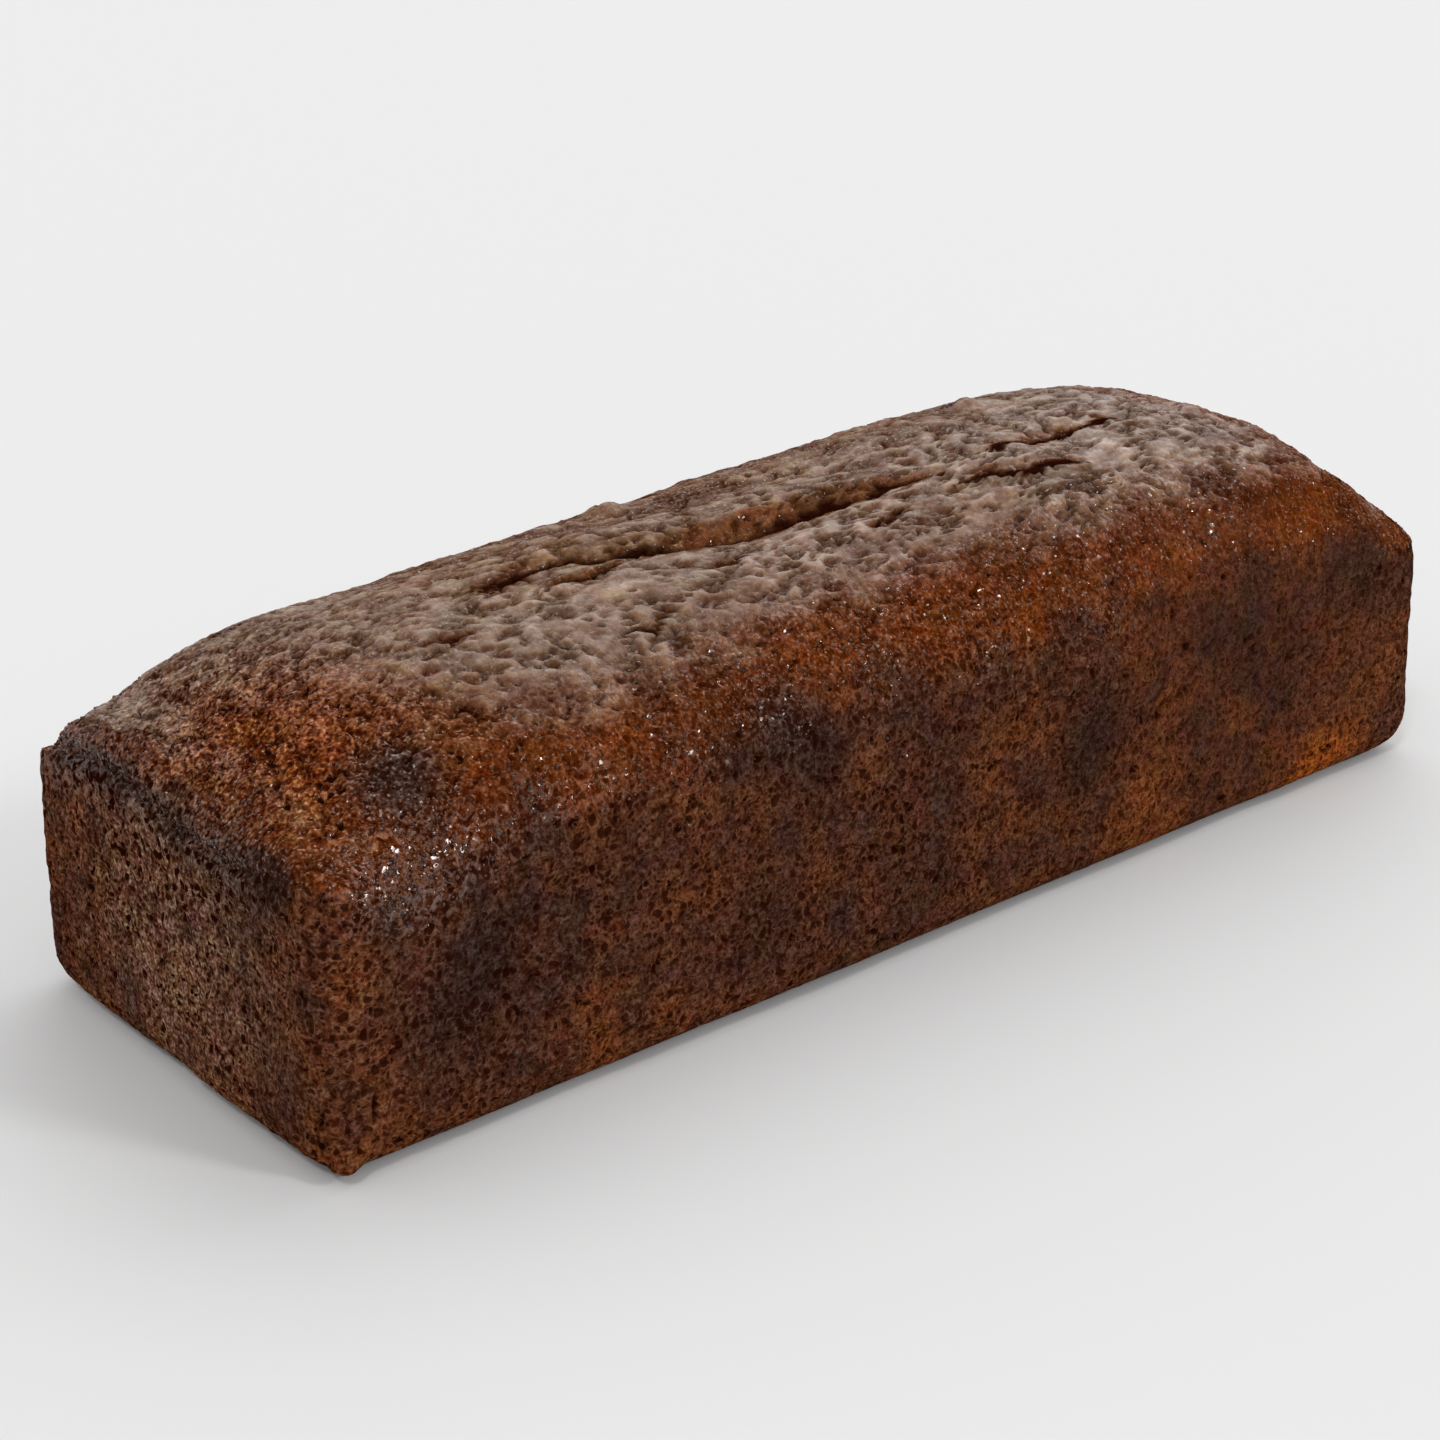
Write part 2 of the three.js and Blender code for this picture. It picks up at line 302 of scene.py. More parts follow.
def loafForm():
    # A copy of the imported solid, merged, with its triangles joined in pairs for an even subdivision
    form = bmesh.new()
    form.from_mesh(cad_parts["loaf"].data)
    bmesh.ops.remove_doubles(form, verts=form.verts, dist=0.001 * mm)
    base = [face for face in form.faces if face.normal.z < -0.999]
    bmesh.ops.dissolve_faces(form, faces=base)
    right = math.radians(90)
    bmesh.ops.join_triangles(
        form, faces=form.faces, angle_face_threshold=right, angle_shape_threshold=right)
    triangles = sum(len(face.verts) == 3 for face in form.faces)
    print(f"loaf form: {len(form.faces)} faces, {triangles} of them triangles")
    mesh = bpy.data.meshes.new("loafCrust")
    form.to_mesh(mesh)
    form.free()
    return newPiece("loafCrust", mesh)


def bentPlace(tree, place, size, reach):
    # Coordinates bent out of true, so that nothing lies in rows
    bend = add(tree, "ShaderNodeTexNoise", {},
               {"Vector": place, "Scale": 1 / (size * mm), "Detail": 0.0}, "Color")
    bend = add(tree, "ShaderNodeVectorMath", {"operation": "SUBTRACT"}, {0: bend, 1: (0.5, 0.5, 0.5)})
    reaches = (reach * mm, reach * mm, reach * mm)
    return add(tree, "ShaderNodeVectorMath", {"operation": "MULTIPLY_ADD"}, {0: bend, 1: reaches, 2: place})


def cellHollows(tree, place, scale, luckFrom, reaches, edge, depth):
    # A round hollow in the middle of each cell, of uneven size, and next to none in an unlucky cell
    cells = add(tree, "ShaderNodeTexVoronoi", {}, {"Vector": place, "Scale": scale}, "Distance")
    luck = add(tree, "ShaderNodeSeparateXYZ", {}, {0: cells.node.outputs["Color"]}, "X")
    reach = add(tree, "ShaderNodeMapRange", {},
                {"Value": luck, "From Min": luckFrom, "To Min": reaches[0], "To Max": reaches[1]})
    off = add(tree, "ShaderNodeMath", {"operation": "DIVIDE"}, {0: cells, 1: reach})
    return add(tree, "ShaderNodeMapRange", smooth,
               {"Value": off, "From Min": edge[0], "From Max": edge[1], "To Min": depth, "To Max": 0.0})


def nearestOn(tree, guide, place, names):
    # Place and named values of the guide's point that is nearest
    points = add(tree, "GeometryNodeObjectInfo", {}, {"Object": guide}, "Geometry")
    nearest = add(tree, "GeometryNodeSampleNearest", {}, {"Geometry": points, "Sample Position": place})
    position = add(tree, "GeometryNodeInputPosition")
    found = [add(tree, "GeometryNodeSampleIndex", {"data_type": "FLOAT_VECTOR"},
                 {"Geometry": points, "Value": position, "Index": nearest})]
    for name in names:
        field = add(tree, "GeometryNodeInputNamedAttribute", {}, {"Name": name})
        found.append(add(tree, "GeometryNodeSampleIndex", {},
                         {"Geometry": points, "Value": field, "Index": nearest}))
    return found


def crustTree(inputs):
    tree, value = newTree("crustRelief", inputs)
    place = add(tree, "GeometryNodeInputPosition")
    normal = add(tree, "GeometryNodeInputNormal")
    height = add(tree, "ShaderNodeSeparateXYZ", {}, {0: place}, "Z")
    slope = add(tree, "ShaderNodeSeparateXYZ", {}, {0: normal}, "Z")
    lowLedge = add(tree, "ShaderNodeMapRange", smooth,
                   {"Value": height, "From Min": value["Ledge From"], "From Max": value["Ledge To"],
                    "To Min": 0.6})
    slope = add(tree, "ShaderNodeMath", {"operation": "MINIMUM"}, {0: slope, 1: lowLedge})
    # The nearest split: side is -1 at its near lip, 0 on its line and 1 at its far lip
    flat = add(tree, "ShaderNodeVectorMath", {"operation": "MULTIPLY"}, {0: place, 1: (1.0, 1.0, 0.0)})
    names = ["opening", "cut", "fill", "torn"]
    line, opening, cut, fill, torn = nearestOn(tree, value["Split Guide"], flat, names)
    away = add(tree, "ShaderNodeVectorMath", {"operation": "SUBTRACT"}, {0: flat, 1: line})
    beyond = add(tree, "ShaderNodeVectorMath", {"operation": "LENGTH"}, {0: away}, "Value")
    across = add(tree, "ShaderNodeSeparateXYZ", {}, {0: away}, "Y")
    across = add(tree, "ShaderNodeMath", {"operation": "SIGN"}, {0: across})
    across = add(tree, "ShaderNodeMath", {"operation": "MULTIPLY"}, {0: across, 1: beyond})
    offLine = add(tree, "ShaderNodeMath", {"operation": "DIVIDE"}, {0: beyond, 1: opening})
    atSplit = add(tree, "ShaderNodeMapRange", smooth,
                  {"Value": offLine, "From Min": 1.2, "From Max": 2.2, "To Min": 1.0, "To Max": 0.0})
    highUp = add(tree, "ShaderNodeMapRange", smooth,
                 {"Value": height, "From Min": value["Splits From"], "From Max": value["Splits To"]})
    atSplit = add(tree, "ShaderNodeMath", {"operation": "MULTIPLY"}, {0: atSplit, 1: highUp})
    # A split's walls belong to the top
    slope = add(tree, "ShaderNodeMath", {"operation": "MAXIMUM"}, {0: slope, 1: atSplit})
    onTop = add(tree, "ShaderNodeMapRange", smooth, {"Value": slope, "From Min": 0.45, "From Max": 0.9})
    onWall = add(tree, "ShaderNodeMath", {"operation": "SUBTRACT"}, {0: 1.0, 1: onTop})
    offBase = add(tree, "ShaderNodeMapRange", smooth,
                  {"Value": height, "From Min": value["Hold From"], "From Max": value["Hold To"]})

    # Puffed skin of the top, with creases along some of its folds
    bent = bentPlace(tree, place, size=6, reach=4)
    wrinkleSize = add(tree, "ShaderNodeCombineXYZ", {},
                      {0: value["Wrinkle Length"], 1: value["Wrinkle Width"], 2: value["Wrinkle Width"]})
    wrinklePlace = add(tree, "ShaderNodeVectorMath", {"operation": "DIVIDE"}, {0: bent, 1: wrinkleSize})
    fold = add(tree, "ShaderNodeTexNoise", {},
               {"Vector": wrinklePlace, "Scale": 1.0, "Detail": 3.0, "Roughness": 0.68})
    fold = add(tree, "ShaderNodeMath", {"operation": "SUBTRACT"}, {0: fold, 1: 0.5})
    fold = add(tree, "ShaderNodeMath", {"operation": "ABSOLUTE"}, {0: fold})
    puff = add(tree, "ShaderNodeMapRange", {}, {"Value": fold, "From Max": 0.2})
    folded = add(tree, "ShaderNodeTexNoise", {}, {"Vector": place, "Scale": 1 / (7 * mm), "Detail": 1.0})
    folded = add(tree, "ShaderNodeMapRange", smooth, {"Value": folded, "From Min": 0.4, "From Max": 0.54})
    crease = add(tree, "ShaderNodeMapRange", smooth,
                 {"Value": fold, "From Min": 0.005, "From Max": 0.045, "To Min": 1.0, "To Max": 0.0})
    crease = add(tree, "ShaderNodeMath", {"operation": "MULTIPLY"}, {0: crease, 1: folded})

    # Pits in the top and open pores in the walls
    pitScale = add(tree, "ShaderNodeMath", {"operation": "DIVIDE"}, {0: 1.0, 1: value["Pit Spacing"]})
    pits = cellHollows(tree, bent, pitScale, luckFrom=0.3, reaches=(0.02, 0.3), edge=(0.3, 1.0), depth=1.0)
    poreScale = add(tree, "ShaderNodeMath", {"operation": "DIVIDE"}, {0: 1.0, 1: value["Pore Spacing"]})
    pores = cellHollows(tree, bent, poreScale, luckFrom=0.2, reaches=(0.05, 0.5), edge=(0.3, 1.0), depth=1.0)
    crumbScale = add(tree, "ShaderNodeMath", {"operation": "DIVIDE"}, {0: 1.0, 1: value["Crumb Size"]})
    crumb = add(tree, "ShaderNodeTexNoise", {}, {"Vector": place, "Scale": crumbScale, "Detail": 2.0})
    crumb = add(tree, "ShaderNodeMath", {"operation": "SUBTRACT"}, {0: crumb, 1: 0.5})

    # How the split's furrow closes up again, and its ragged lips
    furrow = add(tree, "ShaderNodeMath", {"operation": "DIVIDE"}, {0: across, 1: opening})
    furrow = add(tree, "ShaderNodeMath", {"operation": "MULTIPLY"}, {0: furrow, 1: furrow})
    furrow = add(tree, "ShaderNodeMath", {"operation": "SUBTRACT", "use_clamp": True}, {0: 1.0, 1: furrow})
    furrow = add(tree, "ShaderNodeMath", {"operation": "MULTIPLY"}, {0: furrow, 1: furrow})
    wander = add(tree, "ShaderNodeTexNoise", {}, {"Vector": place, "Scale": 1 / (8 * mm), "Detail": 1.0})
    wander = add(tree, "ShaderNodeMath", {"operation": "SUBTRACT"}, {0: wander, 1: 0.5})
    across = add(tree, "ShaderNodeMath", {"operation": "MULTIPLY_ADD"},
                 {0: wander, 1: value["Lip Wander"], 2: across})
    across = add(tree, "ShaderNodeMath", {"operation": "MULTIPLY_ADD"},
                 {0: crumb, 1: value["Lip Crumb"], 2: across})
    side = add(tree, "ShaderNodeMath", {"operation": "DIVIDE"}, {0: across, 1: opening})
    offLine = add(tree, "ShaderNodeMath", {"operation": "ABSOLUTE"}, {0: side})
    inSplit = add(tree, "ShaderNodeMapRange", smooth,
                  {"Value": offLine, "From Min": 0.2, "To Min": 1.0, "To Max": 0.0})
    inSplit = add(tree, "ShaderNodeMath", {"operation": "MULTIPLY"}, {0: inSplit, 1: onTop})
    slit = add(tree, "ShaderNodeMath", {"operation": "SUBTRACT"}, {0: side, 1: 0.1})
    slit = add(tree, "ShaderNodeMath", {"operation": "ABSOLUTE"}, {0: slit})
    slit = add(tree, "ShaderNodeMapRange", smooth,
               {"Value": slit, "From Min": 0.15, "From Max": 0.5, "To Min": 1.0, "To Max": 0.0})
    slit = add(tree, "ShaderNodeMath", {"operation": "MULTIPLY"}, {0: slit, 1: onTop})

    # The nearest end rim: a groove along it, and the top's crust rolling over it
    rim, strength = nearestOn(tree, value["Rim Guide"], place, ["strength"])
    away = add(tree, "ShaderNodeVectorMath", {"operation": "SUBTRACT"}, {0: place, 1: rim})
    offRim = add(tree, "ShaderNodeVectorMath", {"operation": "LENGTH"}, {0: away}, "Value")
    offRim = add(tree, "ShaderNodeMath", {"operation": "MULTIPLY_ADD"},
                 {0: crumb, 1: value["Rim Crumb"], 2: offRim})
    above = add(tree, "ShaderNodeSeparateXYZ", {}, {0: away}, "Z")
    above = add(tree, "ShaderNodeMapRange", smooth, {"Value": above, "From Max": 1.5 * mm})
    groove = add(tree, "ShaderNodeMapRange", smooth,
                 {"Value": offRim, "From Min": value["Groove From"], "From Max": value["Groove To"],
                  "To Min": 1.0, "To Max": 0.0})
    groove = add(tree, "ShaderNodeMath", {"operation": "MULTIPLY"}, {0: groove, 1: strength})
    roll = add(tree, "ShaderNodeMapRange", smooth,
               {"Value": offRim, "From Min": value["Roll From"], "From Max": value["Roll To"],
                "To Min": 1.0, "To Max": 0.0})
    roll = add(tree, "ShaderNodeMath", {"operation": "MULTIPLY"}, {0: roll, 1: above})
    roll = add(tree, "ShaderNodeMath", {"operation": "MULTIPLY"}, {0: roll, 1: strength})
    # Painted shade in the crease under each end rim, fading over a few mm
    rimCreaseShade = add(tree, "ShaderNodeMapRange", smooth,
                  {"Value": offRim, "From Min": value["Dark From"], "From Max": value["Dark To"],
                   "To Min": 1.0, "To Max": 0.0})
    rimCreaseShade = add(tree, "ShaderNodeMath", {"operation": "MULTIPLY"}, {0: rimCreaseShade, 1: strength})

    # Heights of all these, summed
    rise = add(tree, "ShaderNodeMath", {"operation": "SUBTRACT"}, {0: puff, 1: 0.5})
    rise = add(tree, "ShaderNodeMath", {"operation": "MULTIPLY"}, {0: rise, 1: value["Wrinkle Height"]})
    drop = add(tree, "ShaderNodeMath", {"operation": "MULTIPLY"}, {0: crease, 1: value["Crease Depth"]})
    rise = add(tree, "ShaderNodeMath", {"operation": "SUBTRACT"}, {0: rise, 1: drop})
    drop = add(tree, "ShaderNodeMath", {"operation": "MULTIPLY"}, {0: pits, 1: value["Pit Depth"]})
    rise = add(tree, "ShaderNodeMath", {"operation": "SUBTRACT"}, {0: rise, 1: drop})
    topRise = add(tree, "ShaderNodeMath", {"operation": "MULTIPLY"}, {0: rise, 1: onTop})
    rise = add(tree, "ShaderNodeMath", {"operation": "MULTIPLY"}, {0: crumb, 1: value["Crumb Height"]})
    drop = add(tree, "ShaderNodeMath", {"operation": "MULTIPLY"}, {0: pores, 1: value["Pore Depth"]})
    rise = add(tree, "ShaderNodeMath", {"operation": "SUBTRACT"}, {0: rise, 1: drop})
    wallRise = add(tree, "ShaderNodeMath", {"operation": "MULTIPLY"}, {0: rise, 1: onWall})
    rise = add(tree, "ShaderNodeMath", {"operation": "MULTIPLY"}, {0: crumb, 1: value["Split Roughness"]})
    splitRise = add(tree, "ShaderNodeMath", {"operation": "MULTIPLY"}, {0: rise, 1: inSplit})
    drop = add(tree, "ShaderNodeMath", {"operation": "MULTIPLY"}, {0: slit, 1: cut})
    splitRise = add(tree, "ShaderNodeMath", {"operation": "SUBTRACT"}, {0: splitRise, 1: drop})
    splitRise = add(tree, "ShaderNodeMath", {"operation": "MULTIPLY_ADD"},
                    {0: furrow, 1: fill, 2: splitRise})
    rise = add(tree, "ShaderNodeMath", {"operation": "MULTIPLY"}, {0: roll, 1: value["Rim Roll"]})
    drop = add(tree, "ShaderNodeMath", {"operation": "MULTIPLY"}, {0: groove, 1: value["Rim Groove"]})
    rimRise = add(tree, "ShaderNodeMath", {"operation": "SUBTRACT"}, {0: rise, 1: drop})
    rise = add(tree, "ShaderNodeMath", {"operation": "ADD"}, {0: topRise, 1: wallRise})
    rise = add(tree, "ShaderNodeMath", {"operation": "ADD"}, {0: rise, 1: splitRise})
    rise = add(tree, "ShaderNodeMath", {"operation": "ADD"}, {0: rise, 1: rimRise})
    rise = add(tree, "ShaderNodeMath", {"operation": "MULTIPLY"}, {0: rise, 1: offBase})
    offset = add(tree, "ShaderNodeVectorMath", {"operation": "SCALE"}, {0: normal, "Scale": rise})

    # What the colour follows: hollows of the top and of the walls, where shade is painted, the splits, with
    # painted shade at their foot, and the rims, with painted shade in their crease
    topHollow = add(tree, "ShaderNodeMath", {"operation": "MAXIMUM"}, {0: crease, 1: pits})
    hollow = add(tree, "ShaderNodeMix", {}, {"Factor": onTop, 2: pores, 3: topHollow})
    # Painted shade at the foot of each split, where the near lip hides the far wall
    reach = add(tree, "ShaderNodeMapRange", {}, {"Value": torn, "To Min": 0.75, "To Max": 0.34})
    slitShade = add(tree, "ShaderNodeMath", {"operation": "SUBTRACT"}, {0: side, 1: 0.15})
    slitShade = add(tree, "ShaderNodeMath", {"operation": "ABSOLUTE"}, {0: slitShade})
    slitShade = add(tree, "ShaderNodeMath", {"operation": "DIVIDE"}, {0: slitShade, 1: reach})
    slitShade = add(tree, "ShaderNodeMapRange", smooth,
                 {"Value": slitShade, "From Min": 0.3, "To Min": 1.0, "To Max": 0.0})
    slitShade = add(tree, "ShaderNodeMath", {"operation": "MULTIPLY"}, {0: slitShade, 1: onTop})
    tornWall = add(tree, "ShaderNodeMapRange", smooth, {"Value": side, "From Min": 0.15, "From Max": 0.35})
    inner = add(tree, "ShaderNodeMapRange", smooth,
                {"Value": side, "From Min": 0.8, "From Max": 1.5, "To Min": 1.0, "To Max": 0.0})
    tornWall = add(tree, "ShaderNodeMath", {"operation": "MULTIPLY"}, {0: tornWall, 1: inner})
    tornWall = add(tree, "ShaderNodeMath", {"operation": "MULTIPLY"}, {0: tornWall, 1: torn})
    tornWall = add(tree, "ShaderNodeMath", {"operation": "MULTIPLY"}, {0: tornWall, 1: onTop})
    fields = {"slope": slope, "puff": puff, "hollow": hollow,
              "slit": slitShade, "torn": tornWall, "rim": rimCreaseShade}

    form = add(tree, "GeometryNodeSubdivisionSurface", {},
               {"Mesh": value["Geometry"], "Level": value["Levels"]})
    for name, field in fields.items():
        form = add(tree, "GeometryNodeStoreNamedAttribute", {},
                   {"Geometry": form, "Name": name, "Value": field})
    form = add(tree, "GeometryNodeSetPosition", {}, {"Geometry": form, "Offset": offset})
    form = add(tree, "GeometryNodeSetShadeSmooth", {}, {"Geometry": form})
    form = add(tree, "GeometryNodeRealizeInstances", {}, {"Geometry": form})
    form = add(tree, "GeometryNodeSetMaterial", {}, {"Geometry": form, "Material": value["Crust"]})
    add(tree, "NodeGroupOutput", {}, {"Geometry": form})
    return tree


def vertexPlaces(mesh):
    places = np.empty(len(mesh.vertices) * 3, "f")
    mesh.vertices.foreach_get("co", places)
    return places.reshape(-1, 3)


def raiseKnobs(mesh):
    # Pushes the bits of crust out of the finished mesh
    places = vertexPlaces(mesh)
    for middle, radius, way, height in loafValues["knobs"]:
        off = np.linalg.norm(places / mm - middle, axis=1) / radius
        places += np.outer(np.exp(-off ** 4), way) * height * mm
    mesh.vertices.foreach_set("co", places.ravel())
    mesh.update()


def paintMarks(mesh):
    # One attribute for each kind of mark, strongest in the middle of its spots
    places = vertexPlaces(mesh) / mm
    for name, spots in loafValues["marks"].items():
        depth = np.zeros(len(places), "f")
        for middle, reach, strength in spots:
            off = np.linalg.norm(places - middle, axis=1) / reach
            depth += strength * np.exp(-off ** 2)
        mesh.attributes.new(name, "FLOAT", "POINT").data.foreach_set("value", depth)


def crustMaterial():
    # Baked banana bread crust: sugar and fat leave the top a sticky semi-gloss skin, and the tin leaves
    # the walls open, dull and full of pores. The eye sees dark brown with warm and scorched zones
    material = bpy.data.materials.new("bakedBananaBreadCrust")
    material.use_nodes = True
    tree = material.node_tree
    shader = tree.nodes["Principled BSDF"]
    looks = loafValues["looks"]
    colour = {name: linear(shade) for name, shade in looks.items() if str(shade).startswith("#")}
    place = add(tree, "ShaderNodeTexCoord", out="Object")
    height = add(tree, "ShaderNodeSeparateXYZ", {}, {0: place}, "Z")
    names = ["slope", "puff", "hollow", "slit", "torn", "rim", "scorch", "warm",
             "gloss", "rough", "pale", "bare", "glint"]
    slope, puff, hollow, slit, torn, rim, scorch, warm, glossMark, roughMark, paleSheenMark, bare, glint = [
        add(tree, "ShaderNodeAttribute", {"attribute_name": name}, out="Fac") for name in names]

    # Patterns: broad patches, mottling, the crumb's net, single grains, and pores of uneven size
    patches = add(tree, "ShaderNodeTexNoise", {},
                  {"Vector": place, "Scale": 1 / (looks["patchSize"] * mm), "Detail": 2.0})
    mottle = add(tree, "ShaderNodeTexNoise", {},
                 {"Vector": place, "Scale": 1 / (looks["mottleSize"] * mm), "Detail": 3.0, "Roughness": 0.6})
    bent = bentPlace(tree, place, size=2.4, reach=1.8)
    crumb = add(tree, "ShaderNodeTexNoise", {},
                {"Vector": bent, "Scale": 1 / (looks["crumbSize"] * mm), "Detail": 3.0, "Roughness": 0.7})
    grain = add(tree, "ShaderNodeTexNoise", {},
                {"Vector": place, "Scale": 1 / (looks["grainSize"] * mm), "Detail": 0.0})
    pores = cellHollows(tree, bent, 1 / (looks["poreSize"] * mm),
                        luckFrom=0.1, reaches=(0.12, 0.62), edge=(0.6, 1.05), depth=1.0)
    finePores = cellHollows(tree, bent, 1 / (looks["finePoreSize"] * mm),
                            luckFrom=0.2, reaches=(0.05, 0.55), edge=(0.5, 1.05), depth=0.8)
    pores = add(tree, "ShaderNodeMath", {"operation": "MAXIMUM"}, {0: pores, 1: finePores})
    tint = add(tree, "ShaderNodeTexNoise", {},
               {"Vector": place, "Scale": 1 / (looks["tintSize"] * mm), "Detail": 1.0}, "Color")

    # Zones
    ragged = add(tree, "ShaderNodeMath", {"operation": "MULTIPLY_ADD"}, {0: mottle, 1: 0.5, 2: slope})
    ragged = add(tree, "ShaderNodeMath", {"operation": "MULTIPLY_ADD"}, {0: glossMark, 1: 0.12, 2: ragged})
    onTop = add(tree, "ShaderNodeMapRange", smooth, {"Value": ragged, "From Min": 0.97, "From Max": 1.24})
    onShoulder = add(tree, "ShaderNodeMapRange", smooth,
                     {"Value": ragged, "From Min": 0.45, "From Max": 0.85})
    closed = add(tree, "ShaderNodeMapRange", smooth,
                 {"Value": ragged, "From Min": 0.5, "From Max": 0.9, "To Min": 1.0, "To Max": 0.6})
    pores = add(tree, "ShaderNodeMath", {"operation": "MULTIPLY"}, {0: pores, 1: closed})
    atFoot = add(tree, "ShaderNodeMapRange", smooth,
                 {"Value": height, "From Min": 2 * mm, "From Max": 12 * mm, "To Min": 0.35, "To Max": 0.0})
    # Painted shade: a thin dark band along the foot, under the rounded base edge
    baseEdgeShade = add(tree, "ShaderNodeMapRange", smooth,
                    {"Value": height, "From Min": 0.8 * mm, "From Max": 2.6 * mm,
                     "To Min": 0.85, "To Max": 0.0})

    # Colours, from the broad zones down to the single grain and pore, with painted shade in hollows, splits
    # and the rims' crease
    warmth = add(tree, "ShaderNodeMapRange", {},
                 {"Value": patches, "From Min": 0.45, "From Max": 0.7, "To Max": 0.5})
    warmth = add(tree, "ShaderNodeMath", {"operation": "ADD"}, {0: warmth, 1: warm})
    warmth = add(tree, "ShaderNodeMath", {"operation": "ADD", "use_clamp": True}, {0: warmth, 1: atFoot})
    spot = add(tree, "ShaderNodeMapRange", {}, {"Value": mottle, "From Min": 0.35, "From Max": 0.68})
    wall = add(tree, "ShaderNodeMix", mixed, {0: spot, 6: colour["wallDark"], 7: colour["wallMid"]}, 2)
    wallWarm = add(tree, "ShaderNodeMix", mixed, {0: spot, 6: colour["wallMid"], 7: colour["wallWarm"]}, 2)
    tone = add(tree, "ShaderNodeMix", mixed, {0: warmth, 6: wall, 7: wallWarm}, 2)
    glow = add(tree, "ShaderNodeMath", {"operation": "MULTIPLY_ADD"}, {0: warmth, 1: 0.6, 2: spot})
    glow = add(tree, "ShaderNodeMath", {"operation": "MULTIPLY", "use_clamp": True}, {0: glow, 1: 0.7})
    shoulder = add(tree, "ShaderNodeMix", mixed,
                   {0: glow, 6: colour["shoulderDark"], 7: colour["shoulderWarm"]}, 2)
    tone = add(tree, "ShaderNodeMix", mixed, {0: onShoulder, 6: tone, 7: shoulder}, 2)
    # The top's colours carry part of its sheen, painted in
    top = add(tree, "ShaderNodeMix", mixed, {0: spot, 6: colour["topDark"], 7: colour["topWarm"]}, 2)
    warmTop = add(tree, "ShaderNodeMath", {"operation": "MULTIPLY", "use_clamp": True}, {0: warm, 1: 0.8})
    top = add(tree, "ShaderNodeMix", mixed, {0: warmTop, 6: top, 7: shoulder}, 2)
    tone = add(tree, "ShaderNodeMix", mixed, {0: onTop, 6: tone, 7: top}, 2)
    tornShare = add(tree, "ShaderNodeMapRange", smooth,
                    {"Value": mottle, "From Min": 0.34, "From Max": 0.54, "To Min": 0.5})
    tornShare = add(tree, "ShaderNodeMath", {"operation": "MULTIPLY"}, {0: tornShare, 1: torn})
    tone = add(tree, "ShaderNodeMix", mixed, {0: tornShare, 6: tone, 7: colour["torn"]}, 2)
    bareShare = add(tree, "ShaderNodeMapRange", smooth,
                    {"Value": crumb, "From Min": 0.42, "From Max": 0.56, "To Min": 0.35})
    bareShare = add(tree, "ShaderNodeMath", {"operation": "MULTIPLY", "use_clamp": True},
                    {0: bareShare, 1: bare})
    tone = add(tree, "ShaderNodeMix", mixed, {0: bareShare, 6: tone, 7: colour["bare"]}, 2)
    # Scorch marks, and painted shade along the end rims' crease, both in the scorch colour
    scorchAndCreaseShade = add(tree, "ShaderNodeMath", {"operation": "MULTIPLY_ADD"}, {0: rim, 1: 0.6, 2: scorch})
    uneven = add(tree, "ShaderNodeMath", {"operation": "ADD"}, {0: mottle, 1: 0.45})
    scorchAndCreaseShade = add(tree, "ShaderNodeMath", {"operation": "MULTIPLY"}, {0: scorchAndCreaseShade, 1: uneven})
    scorchAndCreaseShade = add(tree, "ShaderNodeMapRange", smooth,
                {"Value": scorchAndCreaseShade, "From Min": 0.06, "From Max": 0.75, "To Max": 0.9})
    tone = add(tree, "ShaderNodeMix", mixed, {0: scorchAndCreaseShade, 6: tone, 7: colour["scorch"]}, 2)
    # Paler, greyer patches on the ends: partly the crumb's own tone, partly painted sheen and light
    pale = add(tree, "ShaderNodeMapRange", smooth,
               {"Value": mottle, "From Min": 0.3, "From Max": 0.6, "To Min": 0.4})
    pale = add(tree, "ShaderNodeMath", {"operation": "MULTIPLY"}, {0: pale, 1: paleSheenMark})
    tone = add(tree, "ShaderNodeMix", mixed, {0: pale, 6: tone, 7: colour["pale"]}, 2)
    tint = add(tree, "ShaderNodeVectorMath", {"operation": "MULTIPLY_ADD"},
               {0: tint, 1: (0.2, 0.4, 0.5), 2: (0.9, 0.8, 0.75)})
    tone = add(tree, "ShaderNodeVectorMath", {"operation": "MULTIPLY"}, {0: tone, 1: tint})
    # Light and dark of the crumb: partly its own tone, partly painted shade in its hollows and painted sheen
    # where it stands out. The lighter, the greyer, so green and blue change more than red
    crumbShade = add(tree, "ShaderNodeMapRange", {},
              {"Value": crumb, "From Min": 0.36, "From Max": 0.64, "To Min": 0.55, "To Max": 1.5})
    shade = add(tree, "ShaderNodeMapRange", {},
                {"Value": grain, "From Min": 0.25, "From Max": 0.75, "To Min": 0.7, "To Max": 1.3})
    shade = add(tree, "ShaderNodeMath", {"operation": "MULTIPLY"}, {0: shade, 1: crumbShade})
    coarse = add(tree, "ShaderNodeMath", {"operation": "ADD"}, {0: roughMark, 1: 1.0})
    shade = add(tree, "ShaderNodeMath", {"operation": "POWER"}, {0: shade, 1: coarse})
